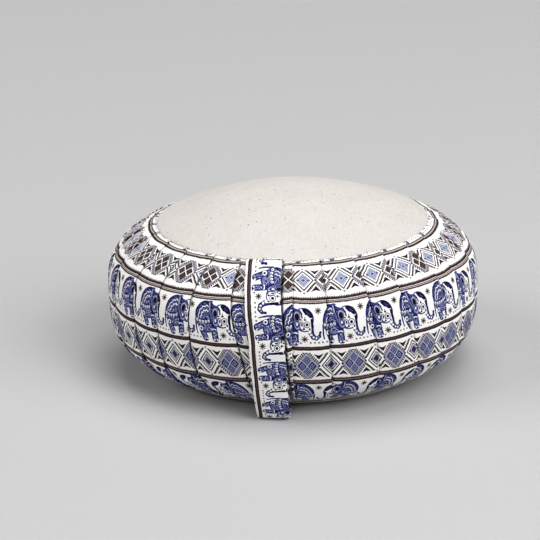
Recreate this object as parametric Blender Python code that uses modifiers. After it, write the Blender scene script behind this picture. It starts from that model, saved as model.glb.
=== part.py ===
"""A round zafu meditation cushion: two canvas discs, a pleated printed side panel and a carry handle.

Metres, +Z up. The origin is the middle of the face that lies on the floor, and the handle is at -Y.
"""

import math
from collections import namedtuple

import bmesh
import bpy

COLLECTION = "zafu_meditation_cushion"
GAP = 0.0003

# The side panel bulges from the bottom seam out to the equator and back in to the top seam.
EQUATOR_RADIUS = 0.1717
EQUATOR_HEIGHT = 0.0815
TOP_SEAM_RADIUS = 0.1265
TOP_SEAM_HEIGHT = 0.1367
BOTTOM_SEAM_RADIUS = 0.1290
BOTTOM_SEAM_HEIGHT = 0.0052
UPPER_FULLNESS = 2.6
LOWER_FULLNESS = 3.9
UPPER_ROWS = 7
LOWER_ROWS = 8

# Each knife pleat is a step in the wall: deep at the seams that hold it, shallow at the equator.
SEAM_STEP = 0.0020
EQUATOR_STEP = 0.0009
GORE_PUFF = 0.0008
STEP_WIDTH_DEG = 0.4
GORE_COLUMNS = (0.0, 0.22, 0.5, 0.78, 1.0)

# The canvas discs: the top one domed, the lower one flat on the floor with a lifted rim.
CANVAS_THICKNESS = 0.0020
CROWN_RISE = 0.0302
CROWN_ROUNDNESS = 1.8
CROWN_RINGS = 6
FLOOR_RADIUS = 0.118
DISC_STEPS = 72

# The carry handle is a flat folded strap from the top seam to the bottom seam.
HANDLE_WIDTH = 0.0315
HANDLE_THICKNESS = 0.0034
HANDLE_EDGE_RADIUS = 0.0011
HANDLE_TOP_SHIFT = -0.0057
HANDLE_EQUATOR_SHIFT = 0.0024
HANDLE_STATIONS = 44

# Where each pleat's fold runs, in degrees from the handle towards +X, at four heights from the top seam
# down. The pleats round the back lie evenly between the last of these and the first.
FOLD_HEIGHTS = (TOP_SEAM_HEIGHT, 0.1100, 0.0720, BOTTOM_SEAM_HEIGHT)
Fold = namedtuple("Fold", "top upper lower bottom")
FRONT_FOLDS = (
    Fold(-67.0, -65.0, -63.0, -60.0),
    Fold(-51.2, -50.0, -47.8, -42.0),
    Fold(-38.2, -37.2, -36.2, -31.0),
    Fold(-24.3, -24.3, -23.8, -18.0),
    Fold(-12.0, -10.8, -8.1, -3.5),
    Fold(8.4, 8.3, 8.1, 9.0),
    Fold(19.1, 18.5, 18.9, 21.0),
    Fold(32.5, 31.8, 33.2, 35.0),
    Fold(45.8, 43.1, 45.9, 48.5),
    Fold(58.6, 59.8, 60.2, 61.0),
    Fold(71.8, 69.3, 70.5, 72.0),
    Fold(84.6, 84.5, 85.2, 86.0),
)
BACK_FOLD_COUNT = 14
BACK_FOLD_WAVE_DEG = 0.9
BACK_FOLD_WAVE_PACE = 2.4

# The handle's middle line below the equator, where it leaves the wall: radius, height and sideways shift.
RoutePoint = namedtuple("RoutePoint", "radius height shift")
HANDLE_LOWER_ROUTE = (
    RoutePoint(0.1757, 0.0650, 0.0032),
    RoutePoint(0.1733, 0.0450, 0.0043),
    RoutePoint(0.1692, 0.0240, 0.0054),
    RoutePoint(0.1646, 0.0095, 0.0062),
    RoutePoint(0.1596, 0.0032, 0.0060),
    RoutePoint(0.1530, 0.0018, 0.0050),
    RoutePoint(0.1430, 0.0018, 0.0042),
    RoutePoint(0.1300, 0.0018, 0.0038),
)


def wall_radius(height):
    """Radius of the side panel's base surface, without its pleats."""
    if height >= EQUATOR_HEIGHT:
        share = (height - EQUATOR_HEIGHT) / (TOP_SEAM_HEIGHT - EQUATOR_HEIGHT)
        return EQUATOR_RADIUS - (EQUATOR_RADIUS - TOP_SEAM_RADIUS) * share**UPPER_FULLNESS
    share = (EQUATOR_HEIGHT - height) / (EQUATOR_HEIGHT - BOTTOM_SEAM_HEIGHT)
    return EQUATOR_RADIUS - (EQUATOR_RADIUS - BOTTOM_SEAM_RADIUS) * share**LOWER_FULLNESS


def wall_normal(height):
    """Outward unit normal of the base surface, as its radial and vertical parts."""
    step = 0.0001
    low = max(height - step, BOTTOM_SEAM_HEIGHT)
    high = min(height + step, TOP_SEAM_HEIGHT)
    along_radius = wall_radius(high) - wall_radius(low)
    along_height = high - low
    length = math.hypot(along_radius, along_height)
    return along_height / length, -along_radius / length


def crown_height(radius):
    """Height of the top disc's upper face."""
    return TOP_SEAM_HEIGHT + CROWN_RISE * (1 - (radius / TOP_SEAM_RADIUS) ** CROWN_ROUNDNESS)


def crown_radii():
    """Radii of the rings that shape the crown, from the seam inwards."""
    return [TOP_SEAM_RADIUS * (1 - ring / CROWN_RINGS) for ring in range(CROWN_RINGS)]


def pleat_step(height):
    """Depth of the pleats' step at a height."""
    if height >= EQUATOR_HEIGHT:
        share = (height - EQUATOR_HEIGHT) / (TOP_SEAM_HEIGHT - EQUATOR_HEIGHT)
    else:
        share = (EQUATOR_HEIGHT - height) / (EQUATOR_HEIGHT - BOTTOM_SEAM_HEIGHT)
    return EQUATOR_STEP + (SEAM_STEP - EQUATOR_STEP) * share**2


def back_fold(number):
    """The folds of a pleat round the back, numbered from 1."""
    share = number / (BACK_FOLD_COUNT + 1)
    wave = BACK_FOLD_WAVE_DEG * math.sin(BACK_FOLD_WAVE_PACE * number)
    spans = zip(FRONT_FOLDS[-1], FRONT_FOLDS[0])
    return Fold(*(last + (first + 360 - last) * share + wave for last, first in spans))


def all_folds():
    """Every pleat's folds, once round."""
    return list(FRONT_FOLDS) + [back_fold(number) for number in range(1, BACK_FOLD_COUNT + 1)]


FOLDS = all_folds()


def pleat_angle(index, height):
    """Angle in degrees of a pleat's fold at a height. Past the last pleat comes the first one again."""
    turns, row = divmod(index, len(FOLDS))
    angle = 0
    for own, own_height in enumerate(FOLD_HEIGHTS):
        weight = 1
        for other, other_height in enumerate(FOLD_HEIGHTS):
            if other != own:
                weight *= (height - other_height) / (own_height - other_height)
        angle += weight * FOLDS[row][own]
    return angle + 360 * turns


def wall_columns(height):
    """Angle and relief of each column of the wall: every gore rises from its tucked side to its fold."""
    step = pleat_step(height)
    columns = []
    for gore in range(len(FOLDS)):
        start = pleat_angle(gore, height) + STEP_WIDTH_DEG
        end = pleat_angle(gore + 1, height)
        for share in GORE_COLUMNS:
            relief = step * share + 4 * GORE_PUFF * share * (1 - share)
            columns.append((math.radians(start + (end - start) * share), relief))
    return columns


def wall_heights():
    """Heights of the wall's rows, from the bottom seam to the top seam, closer near the seams."""
    lower = EQUATOR_HEIGHT - BOTTOM_SEAM_HEIGHT
    upper = TOP_SEAM_HEIGHT - EQUATOR_HEIGHT
    heights = []
    for row in range(LOWER_ROWS, 0, -1):
        heights.append(EQUATOR_HEIGHT - lower * math.sin(math.pi / 2 * row / LOWER_ROWS))
    for row in range(UPPER_ROWS + 1):
        heights.append(EQUATOR_HEIGHT + upper * math.sin(math.pi / 2 * row / UPPER_ROWS))
    return heights


def turned_point(angle, radius, height):
    """A point at an angle from -Y towards +X."""
    return radius * math.sin(angle), -radius * math.cos(angle), height


def wall_ring(mesh, height):
    """Adds one row of the pleated wall."""
    across, upward = wall_normal(height)
    base = wall_radius(height)
    return [
        mesh.verts.new(turned_point(angle, base + relief * across, height + relief * upward))
        for angle, relief in wall_columns(height)
    ]


def plain_ring(mesh, radius, height, seam_height):
    """Adds a round row whose columns keep the angles that they have at the nearer seam."""
    return [mesh.verts.new(turned_point(angle, radius, height)) for angle, _ in wall_columns(seam_height)]


def bridge(mesh, lower, upper):
    """Joins two rows of equal length."""
    for column in range(len(lower)):
        following = (column + 1) % len(lower)
        mesh.faces.new((lower[column], lower[following], upper[following], upper[column]))


def cap(mesh, ring, height):
    """Closes a row with a fan round a point on the axis."""
    middle = mesh.verts.new((0, 0, height))
    for column in range(len(ring)):
        mesh.faces.new((ring[column], ring[(column + 1) % len(ring)], middle))


def add_object(name, mesh_data, material, collection):
    """Places a mesh in the collection with its material."""
    made = bpy.data.objects.new(name, mesh_data)
    made.data.materials.append(material)
    collection.objects.link(made)
    return made


def finished_mesh(name, mesh):
    """Turns a bmesh into mesh data that is shaded smooth between its sharp edges."""
    bmesh.ops.recalc_face_normals(mesh, faces=mesh.faces)
    data = bpy.data.meshes.new(name)
    mesh.to_mesh(data)
    mesh.free()
    data.shade_smooth()
    data.set_sharp_from_angle(angle=math.radians(40))
    return data


def build_side_panel(material, collection):
    """The pleated wall and what it holds, as one filled solid with seats for the two discs."""
    mesh = bmesh.new()
    seat = CANVAS_THICKNESS + GAP
    rings = [
        plain_ring(mesh, FLOOR_RADIUS / 2, seat, BOTTOM_SEAM_HEIGHT),
        plain_ring(mesh, FLOOR_RADIUS, seat, BOTTOM_SEAM_HEIGHT),
        plain_ring(mesh, BOTTOM_SEAM_RADIUS, BOTTOM_SEAM_HEIGHT, BOTTOM_SEAM_HEIGHT),
    ]
    rings += [wall_ring(mesh, height) for height in wall_heights()]
    for radius in crown_radii():
        rings.append(plain_ring(mesh, radius, crown_height(radius) - seat, TOP_SEAM_HEIGHT))
    for lower, upper in zip(rings, rings[1:]):
        bridge(mesh, lower, upper)
    cap(mesh, rings[0], seat)
    cap(mesh, rings[-1], crown_height(0) - seat)
    return add_object("side_panel", finished_mesh("side_panel", mesh), material, collection)


def turned_disc(name, profile, material, collection):
    """A round solid turned from a profile that starts and ends on the axis."""
    data = bpy.data.meshes.new(name)
    edges = [(point, point + 1) for point in range(len(profile) - 1)]
    data.from_pydata([(radius, 0, height) for radius, height in profile], edges, [])
    disc = add_object(name, data, material, collection)
    screw = disc.modifiers.new("turn", "SCREW")
    screw.steps = DISC_STEPS
    screw.render_steps = DISC_STEPS
    screw.use_merge_vertices = True
    screw.merge_threshold = 0.0001
    screw.use_smooth_shade = True
    return disc


def build_top_panel(material, collection):
    """The domed canvas disc."""
    radii = [min(radius, TOP_SEAM_RADIUS - GAP) for radius in crown_radii()] + [0]
    upper = [(radius, crown_height(radius)) for radius in reversed(radii)]
    under = [(radius, crown_height(radius) - CANVAS_THICKNESS) for radius in radii]
    return turned_disc("top_panel", upper + under, material, collection)


def build_bottom_panel(material, collection):
    """The canvas disc that lies on the floor. Its rim lifts to the bottom seam."""
    rim = BOTTOM_SEAM_RADIUS - 2 * GAP
    lift = BOTTOM_SEAM_HEIGHT - CANVAS_THICKNESS - 2 * GAP
    profile = (
        (0, CANVAS_THICKNESS),
        (FLOOR_RADIUS, CANVAS_THICKNESS),
        (rim, CANVAS_THICKNESS + lift),
        (rim, lift),
        (FLOOR_RADIUS, 0),
        (0, 0),
    )
    return turned_disc("bottom_panel", profile, material, collection)


def handle_corners():
    """Points on the handle's middle line: on the pleated wall down to the equator, then the free route."""
    lift = HANDLE_THICKNESS / 2 + 2 * GAP
    corners = []
    for row in range(UPPER_ROWS, -1, -1):
        rise = math.sin(math.pi / 2 * row / UPPER_ROWS)
        height = EQUATOR_HEIGHT + (TOP_SEAM_HEIGHT - EQUATOR_HEIGHT) * rise
        across, upward = wall_normal(height)
        offset = lift + pleat_step(height) + GORE_PUFF / 2
        shift = HANDLE_EQUATOR_SHIFT + (HANDLE_TOP_SHIFT - HANDLE_EQUATOR_SHIFT) * rise
        corners.append(RoutePoint(wall_radius(height) + offset * across, height + offset * upward, shift))
    return corners + list(HANDLE_LOWER_ROUTE)


def smooth_point(points, position):
    """A point on the Catmull-Rom curve through a list of points, at a position counted in points."""
    first = min(int(position), len(points) - 2)
    share = position - first
    around = [points[max(0, min(first + offset, len(points) - 1))] for offset in (-1, 0, 1, 2)]
    weights = (
        0.5 * (-share + 2 * share**2 - share**3),
        0.5 * (2 - 5 * share**2 + 3 * share**3),
        0.5 * (share + 4 * share**2 - 3 * share**3),
        0.5 * (-(share**2) + share**3),
    )
    return RoutePoint(*(sum(w * value for w, value in zip(weights, values)) for values in zip(*around)))


def build_handle(material, collection):
    """The strap: a strip along its route, thickened, with rounded edges. It leans a little sideways."""
    corners = handle_corners()
    mesh = bmesh.new()
    pairs = []
    for station in range(HANDLE_STATIONS + 1):
        share = station / HANDLE_STATIONS
        middle = smooth_point(corners, share * (len(corners) - 1))
        left = mesh.verts.new((middle.shift - HANDLE_WIDTH / 2, -middle.radius, middle.height))
        right = mesh.verts.new((middle.shift + HANDLE_WIDTH / 2, -middle.radius, middle.height))
        pairs.append((left, right))
    for upper, lower in zip(pairs, pairs[1:]):
        mesh.faces.new((upper[0], lower[0], lower[1], upper[1]))
    data = bpy.data.meshes.new("carry_handle")
    mesh.to_mesh(data)
    mesh.free()
    data.shade_smooth()
    handle = add_object("carry_handle", data, material, collection)
    solidify = handle.modifiers.new("thickness", "SOLIDIFY")
    solidify.thickness = HANDLE_THICKNESS
    solidify.offset = 0
    solidify.use_even_offset = True
    bevel = handle.modifiers.new("soft_edges", "BEVEL")
    bevel.width = HANDLE_EDGE_RADIUS
    bevel.segments = 2
    bevel.angle_limit = math.radians(60)
    return handle


def cloth_material(name, colour, roughness):
    """A matt cloth finish."""
    material = bpy.data.materials.new(name)
    material.use_nodes = True
    material.diffuse_color = (*colour, 1)
    shader = material.node_tree.nodes["Principled BSDF"]
    shader.inputs["Base Color"].default_value = (*colour, 1)
    shader.inputs["Roughness"].default_value = roughness
    shader.inputs["Metallic"].default_value = 0
    return material


def clear_scene():
    """Removes every object that the scene starts with."""
    for old in list(bpy.data.objects):
        bpy.data.objects.remove(old, do_unlink=True)


def main():
    clear_scene()
    collection = bpy.data.collections.new(COLLECTION)
    bpy.context.scene.collection.children.link(collection)
    build_side_panel(cloth_material("side_print", (0.50, 0.50, 0.60), 0.85), collection)
    build_top_panel(cloth_material("top_canvas", (0.78, 0.75, 0.70), 0.90), collection)
    build_bottom_panel(cloth_material("bottom_canvas", (0.76, 0.73, 0.68), 0.90), collection)
    build_handle(cloth_material("handle_print", (0.42, 0.42, 0.56), 0.85), collection)


main()
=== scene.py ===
"""How a zafu meditation cushion looks: pleated printed cotton round the side, canvas discs.

Metres, +Z up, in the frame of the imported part. The carry handle is at -Y. Places on the cloth
are in millimetres.
"""

import math
from collections import namedtuple

import bpy
import numpy as np
from mathutils import Matrix, Vector


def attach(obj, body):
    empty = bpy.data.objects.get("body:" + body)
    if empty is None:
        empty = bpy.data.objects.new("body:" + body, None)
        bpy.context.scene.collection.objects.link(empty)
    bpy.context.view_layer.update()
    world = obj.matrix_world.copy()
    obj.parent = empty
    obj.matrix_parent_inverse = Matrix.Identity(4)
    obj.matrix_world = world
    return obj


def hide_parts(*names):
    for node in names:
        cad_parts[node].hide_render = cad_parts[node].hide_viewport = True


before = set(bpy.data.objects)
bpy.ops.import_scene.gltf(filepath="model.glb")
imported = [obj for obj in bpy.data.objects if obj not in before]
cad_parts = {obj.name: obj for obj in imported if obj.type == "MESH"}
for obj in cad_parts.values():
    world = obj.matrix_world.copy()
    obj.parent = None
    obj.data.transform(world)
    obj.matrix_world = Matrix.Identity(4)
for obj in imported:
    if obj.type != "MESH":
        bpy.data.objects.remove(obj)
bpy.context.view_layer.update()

MM = 0.001

# The cushion's form, with the same values as the part's own constants.
EQUATOR_RADIUS = 0.1717
EQUATOR_HEIGHT = 0.0815
TOP_SEAM_RADIUS = 0.1265
TOP_SEAM_HEIGHT = 0.1367
BOTTOM_SEAM_RADIUS = 0.1290
BOTTOM_SEAM_HEIGHT = 0.0052
UPPER_FULLNESS = 2.6
LOWER_FULLNESS = 3.9
SEAM_STEP = 0.0020
EQUATOR_STEP = 0.0009
GORE_PUFF = 0.0008
CROWN_RISE = 0.0302
CROWN_ROUNDNESS = 1.8
FLOOR_RADIUS = 0.118
CANVAS_THICKNESS = 0.0020
HANDLE_WIDTH = 0.0315
HANDLE_THICKNESS = 0.0034
HANDLE_TOP_SHIFT = -0.0057
HANDLE_EQUATOR_SHIFT = 0.0024
RoutePoint = namedtuple("RoutePoint", "radius height shift")
HANDLE_LOWER_ROUTE = (
    RoutePoint(0.1757, 0.0650, 0.0032),
    RoutePoint(0.1733, 0.0450, 0.0043),
    RoutePoint(0.1692, 0.0240, 0.0054),
    RoutePoint(0.1646, 0.0095, 0.0062),
    RoutePoint(0.1596, 0.0032, 0.0060),
    RoutePoint(0.1530, 0.0018, 0.0050),
    RoutePoint(0.1430, 0.0018, 0.0042),
    RoutePoint(0.1300, 0.0018, 0.0038),
)

# Each pleat's fold in degrees from the handle towards +X, at four heights from the top seam
# down, and the place on the cloth that the middle of the gore after the fold shows. The one
# beside the handle's right edge is the valley that the handle presses into the cushion.
# Grooves are shares of the usual depth.
FOLD_HEIGHTS = (TOP_SEAM_HEIGHT, 0.1100, 0.0720, BOTTOM_SEAM_HEIGHT)
Fold = namedtuple("Fold", "top upper lower bottom cloth groove")
FRONT_FOLDS = (
    Fold(-67.0, -65.0, -63.0, -60.0, -232.5, 1.0),
    Fold(-51.2, -50.0, -47.8, -42.0, -184.9, 1.2),
    Fold(-38.2, -37.2, -36.2, -31.0, -139.9, 1.0),
    Fold(-24.3, -24.3, -23.8, -18.0, -90.4, 1.4),
    Fold(-12.0, -10.8, -8.1, -3.5, -36.5, 1.3),
    Fold(4.4, 4.8, 5.9, 7.6, -15.0, 2.9),
    Fold(8.4, 8.3, 8.1, 9.6, 11.5, 0.6),
    Fold(19.1, 18.5, 18.9, 21.0, 50.4, 0.9),
    Fold(32.5, 31.8, 33.2, 35.0, 95.5, 1.3),
    Fold(45.8, 43.1, 45.9, 48.5, 139.6, 1.2),
    Fold(58.6, 59.8, 60.2, 61.0, 181.0, 1.0),
    Fold(71.8, 69.3, 70.5, 72.0, 223.9, 1.0),
    Fold(84.6, 84.5, 85.2, 86.0, 272.2, 1.0),
)
BACK_FOLD_COUNT = 14
BACK_FOLD_WAVE_DEG = 0.9
BACK_FOLD_WAVE_PACE = 2.4
BACK_GROOVE_WAVE = 0.3
BACK_GROOVE_PACE = 1.7
PRINT_REPEAT = 42.0
CLOTH_ROUND = 29 * PRINT_REPEAT

# The wall's mesh: columns over each gore and round each fold, and rows from seam to seam.
GORE_SHARES = (
    0, 0.025, 0.045, 0.065, 0.085, 0.11, 0.15, 0.21, 0.28, 0.36,
    0.45, 0.54, 0.63, 0.72, 0.8, 0.87, 0.93, 0.97, 0.99, 1.0,
)
FOLD_ALONG = (-0.00012, 0.0, -0.00005, -0.0002, -0.0010, -0.0020)
FOLD_DEPTH = (0.00012, 0.0005, 0.0011, 0.0018, 0.0022, 0.0025)
COLUMNS_PER_GORE = len(GORE_SHARES) + len(FOLD_ALONG)
# A gore starts under the fold before it, and ends this much short of its own fold.
FOLD_TUCK = 0.0018
FOLD_LIP = 0.0005
WALL_ROWS = 106
ROW_CROWDING = 0.09
EXTRA_ROWS = (0.0005, 0.0010, 0.0016, 0.0023)

# Beside each fold the cloth dives into a narrow groove, which is shallower at the seams.
GROOVE_DEPTH = 0.0024
GROOVE_WIDTH = 0.0010
GROOVE_AT_SEAM, GROOVE_REACH = 0.25, 0.009
# The seams hold the cloth: the share of its relief there, and how far it takes to come free.
HELD_AT_SEAM, HELD_REACH = 0.35, 0.030
# What dies away from a seam: how much there is at it, and over what length.
Fade = namedtuple("Fade", "amount reach")
FLAT_TOP, FLAT_BOTTOM = Fade(0.0008, 0.030), Fade(0.0010, 0.035)
GATHER_TOP, GATHER_BOTTOM = Fade(0.00022, 0.008), Fade(0.00022, 0.010)
DIP_TOP, DIP_BOTTOM = Fade(0.0009, 0.0024), Fade(0.0007, 0.0030)
Wave = namedtuple("Wave", "height length")
SWELL, RIPPLE = Wave(0.00028, 0.062), Wave(0.00010, 0.027)
# The handle presses into the wall, which bulges beside its right edge: how high and how far.
HANDLE_VALLEY = 5
BULGE_HEIGHT = 0.0027
BULGE_REACH = 0.012
BULGE_ROUNDNESS = 1.5
BULGE_TOP, BULGE_FOOT = (0, 0.012), (0.020, 0.060)
# Past these angles, round the back, the wall lies lower beside the top seam.
BACK_EASE = (math.radians(82), math.radians(112))
BACK_LOWERING = Fade(0.0022, 0.016)
# The print sags between folds and slants over each gore: millimetres at the seams, and how
# many more where the cloth is free, at this distance from them.
PRINT_FREE = 0.045
SAG_AT_SEAM, SAG_MORE = 0.35, 0.45
SLANT_AT_SEAM, SLANT_MORE = 0.4, 1.1
# At the right the print lies further from the top seam, by this many millimetres at most.
SIDE_LOWERING = 2.2
SIDE_ANGLE, SIDE_SPREAD = 90, 30

# The cushion leans, so that its right side stands higher: rise at the top seam's height for
# each metre to the right.
LEAN = 0.009


def above_below(height):
    """Heights as shares of the way from the equator to the top seam, and to the bottom seam."""
    height = np.asarray(height, float)
    upper = (height - EQUATOR_HEIGHT) / (TOP_SEAM_HEIGHT - EQUATOR_HEIGHT)
    lower = (EQUATOR_HEIGHT - height) / (EQUATOR_HEIGHT - BOTTOM_SEAM_HEIGHT)
    return np.clip(upper, 0, 1), np.clip(lower, 0, 1)


def wall_radius(height):
    """Radius of the side panel's base surface at heights."""
    upper, lower = above_below(height)
    drawn_in = (EQUATOR_RADIUS - TOP_SEAM_RADIUS) * upper**UPPER_FULLNESS
    return EQUATOR_RADIUS - drawn_in - (EQUATOR_RADIUS - BOTTOM_SEAM_RADIUS) * lower**LOWER_FULLNESS


def wall_normal(height):
    """Outward normal of the base surface at heights, as its radial and vertical parts."""
    low = np.maximum(height - 0.1 * MM, BOTTOM_SEAM_HEIGHT)
    high = np.minimum(height + 0.1 * MM, TOP_SEAM_HEIGHT)
    along_radius = wall_radius(high) - wall_radius(low)
    along_height = high - low
    length = np.hypot(along_radius, along_height)
    return along_height / length, -along_radius / length


def lengths_along(points):
    """The length of a line of points, rows by coordinates, from its start to each."""
    steps = np.linalg.norm(np.diff(points, axis=0), axis=1)
    return np.concatenate([[0], np.cumsum(steps)])


# Heights from the top seam down, and the length of the wall from the top seam to each.
WALL_HEIGHTS = np.linspace(TOP_SEAM_HEIGHT, BOTTOM_SEAM_HEIGHT, 4001)
WALL_LENGTHS = lengths_along(np.stack([wall_radius(WALL_HEIGHTS), WALL_HEIGHTS], 1))
WALL_LENGTH = WALL_LENGTHS[-1]


def crown_height(radius):
    """Height of the top disc's upper face."""
    return TOP_SEAM_HEIGHT + CROWN_RISE * (1 - (radius / TOP_SEAM_RADIUS) ** CROWN_ROUNDNESS)


def pleat_step(height):
    """Depth of the pleats' step at heights."""
    upper, lower = above_below(height)
    return EQUATOR_STEP + (SEAM_STEP - EQUATOR_STEP) * (upper + lower) ** 2


def all_folds():
    """Every pleat's folds, once round. Round the back the cloth is taken up evenly."""
    folds = list(FRONT_FOLDS)
    last, first = FRONT_FOLDS[-1], FRONT_FOLDS[0]
    for number in range(1, BACK_FOLD_COUNT + 1):
        share = number / (BACK_FOLD_COUNT + 1)
        wave = BACK_FOLD_WAVE_DEG * math.sin(BACK_FOLD_WAVE_PACE * number)
        angles = [last[k] + (first[k] + 360 - last[k]) * share + wave for k in range(4)]
        cloth = last.cloth + (first.cloth + CLOTH_ROUND - last.cloth) * share
        groove = 1.0 + BACK_GROOVE_WAVE * math.sin(BACK_GROOVE_PACE * number)
        folds.append(Fold(*angles, cloth, groove))
    return folds


FOLDS = all_folds()
# What makes each gore lie a little differently.
Chance = namedtuple("Chance", "swell ripple gather_pace gather sag slant")
CHANCES = [Chance(*row) for row in np.random.default_rng(26).random((len(FOLDS), 6))]


def pleat_angle(index, heights):
    """Angles in radians of a pleat's fold at heights. After the last pleat comes the first again."""
    turns, row = divmod(index, len(FOLDS))
    cubic = np.polyfit(FOLD_HEIGHTS, FOLDS[row][:4], 3)
    return np.radians(np.polyval(cubic, heights) + 360 * turns)


def eased(value, start, end):
    """0 at start, 1 at end, with a smooth rise between."""
    share = np.clip((value - start) / (end - start), 0, 1)
    return share * share * (3 - 2 * share)


def faded(fade, distance):
    """What is left of a fade at a distance."""
    return fade.amount * np.exp(-distance / fade.reach)


def leaned(points):
    """Points moved by the cushion's lean, which grows with height."""
    moved = np.array(points, float)
    moved[:, 2] += LEAN * moved[:, 0] * moved[:, 2] / TOP_SEAM_HEIGHT
    return moved


def mesh_object(name, points, faces):
    """A smooth-shaded mesh object from points and faces."""
    data = bpy.data.meshes.new(name)
    data.from_pydata([tuple(p) for p in points], [], faces)
    data.shade_smooth()
    return add_object(name, data)


def tube_object(name, points, material, turned=False):
    """A closed round piece from rings of points, rows by columns, with one face at either end."""
    rows, columns = points.shape[:2]
    faces = []
    for low in range(0, (rows - 1) * columns, columns):
        high = low + columns
        for column in range(columns):
            after = (column + 1) % columns
            faces.append((low + column, low + after, high + after, high + column))
    faces.append(tuple(range(columns))[::-1])
    faces.append(tuple(range((rows - 1) * columns, rows * columns)))
    if turned:
        faces = [face[::-1] for face in faces]
    made = mesh_object(name, leaned(points.reshape(-1, 3)), faces)
    made.data.materials.append(material)
    return made


def add_map(made, name, corners, ends=0.0):
    """Gives the mesh a UV map: a pair for each corner of its quads, one value for the end faces."""
    pairs = np.full((len(made.data.loops), 2), ends)
    pairs[: len(corners)] = corners
    layer = made.data.uv_layers.new(name=name, do_init=False)
    layer.uv.foreach_set("vector", pairs.astype(np.float32).ravel())


def quad_corners(left, right, turned=False):
    """Map pairs for the corners of a tube's quads, from those at each column's left and right."""
    corners = np.stack([left[:-1], right[:-1], right[1:], left[1:]], 2)
    if turned:
        corners = corners[:, :, ::-1]
    return corners.reshape(-1, 2)


def paired(first, second):
    """A pair for every row and column, from arrays that spread over both."""
    return np.stack(np.broadcast_arrays(first, second), -1)


def round_points(radius, height, angle):
    """Points at angles from the handle, which is at -Y, towards +X."""
    return np.stack([radius * np.sin(angle), -radius * np.cos(angle), height + 0 * angle], -1)


# --- The pleated side ---


def gore_relief(gore, share, arc, height, gore_width):
    """How far the cloth stands out from the base surface over a gore of a given width."""
    hump = 4 * share * (1 - share)
    from_top, from_bottom = arc, WALL_LENGTH - arc
    from_seam = np.minimum(from_top, from_bottom)
    held = HELD_AT_SEAM + (1 - HELD_AT_SEAM) * eased(from_seam, 0, HELD_REACH)
    relief = held * (pleat_step(height) * share + GORE_PUFF * hump)
    relief = relief - (faded(FLAT_TOP, from_top) + faded(FLAT_BOTTOM, from_bottom)) * hump
    past_fold = np.maximum(share * gore_width - FOLD_TUCK, 0)
    free = GROOVE_AT_SEAM + (1 - GROOVE_AT_SEAM) * eased(from_seam, 0, GROOVE_REACH)
    width = GROOVE_WIDTH * max(1, FOLDS[gore].groove / 2)
    groove = FOLDS[gore].groove * GROOVE_DEPTH * free * np.exp(-((past_fold / width) ** 2))
    chance = CHANCES[gore]
    swell = np.sin(2 * math.pi * (arc / SWELL.length + chance.swell) + 2.0 * share)
    ripple = np.sin(2 * math.pi * (arc / RIPPLE.length + chance.ripple + 0.8 * share))
    waves = hump * (SWELL.height * swell + RIPPLE.height * ripple)
    gather = np.sin(2 * math.pi * (share * (2.0 + chance.gather_pace) + chance.gather))
    gathered = gather * (faded(GATHER_TOP, from_top) + faded(GATHER_BOTTOM, from_bottom))
    dip = DIP_TOP.amount * (1 - eased(from_top, 0, DIP_TOP.reach))
    dip = dip + DIP_BOTTOM.amount * (1 - eased(from_bottom, 0, DIP_BOTTOM.reach))
    return relief - groove + waves + gathered - dip


def wall_rows():
    """The wall's rows as lengths from the top seam, from the bottom up, closer near the seams."""
    even = np.linspace(0, 1, WALL_ROWS)
    bent = even - ROW_CROWDING * np.sin(2 * math.pi * even) / math.pi
    extra = np.array(EXTRA_ROWS)
    rows = np.concatenate([bent * WALL_LENGTH, extra, WALL_LENGTH - extra])
    return np.unique(np.round(rows, 6))[::-1]


def wall_surface():
    """Every point of the wall, rows by columns: angle, relief, place on the cloth along and down,
    and angle from the gore's middle."""
    arc = wall_rows()[:, None]
    height = np.interp(arc, WALL_LENGTHS, WALL_HEIGHTS)
    radius = wall_radius(height)
    share = np.array([GORE_SHARES])
    along, depth = np.array([FOLD_ALONG]), np.array([FOLD_DEPTH])
    path = lengths_along(np.array([(-FOLD_LIP, *FOLD_ALONG), (0, *FOLD_DEPTH)]).T)[None, 1:]
    free = eased(np.minimum(arc, WALL_LENGTH - arc), 0, PRINT_FREE)
    bulge = BULGE_HEIGHT * eased(arc, *BULGE_TOP) * eased(WALL_LENGTH - arc, *BULGE_FOOT)
    blocks = []
    for gore, fold in enumerate(FOLDS):
        start, end = pleat_angle(gore, height), pleat_angle(gore + 1, height)
        middle = (start + end) / 2
        first, last = start - FOLD_TUCK / radius, end - FOLD_LIP / radius
        angle = first + (last - first) * share
        behind = eased(np.abs(np.angle(np.exp(1j * angle))), *BACK_EASE)
        relief = gore_relief(gore, share, arc, height, (last - first) * radius)
        relief = relief - behind * faded(BACK_LOWERING, arc)
        if gore >= HANDLE_VALLEY:
            beside = (angle - pleat_angle(HANDLE_VALLEY, height)) * radius
            reach = np.maximum(beside, 0) / BULGE_REACH
            relief = relief + bulge * np.exp(-(reach**BULGE_ROUNDNESS))
        lengthwise = fold.cloth + radius / MM * (angle - middle)
        spread = 2 * (angle - start) / (end - start) - 1
        sag = (SAG_AT_SEAM + SAG_MORE * free) * (0.75 + 0.5 * CHANCES[gore].sag)
        slant = (SLANT_AT_SEAM + SLANT_MORE * free) * (CHANCES[gore].slant - 0.5)
        at_side = np.exp(-(((np.degrees(angle) - SIDE_ANGLE) / SIDE_SPREAD) ** 2))
        down = arc / MM - SIDE_LOWERING * at_side + sag * (spread**2 - 0.33) + slant * spread
        over_gore = (angle, relief, lengthwise, down, angle - middle)
        round_fold = (
            end + along / radius,
            relief[:, -1:] - depth,
            lengthwise[:, -1:] + path / MM,
            down[:, -1:] + 0 * path,
            over_gore[4][:, -1:] + path / radius,
        )
        blocks.append([np.hstack(pair) for pair in zip(over_gore, round_fold)])
    return arc, height, radius, [np.hstack(part) for part in zip(*blocks)]


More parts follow.
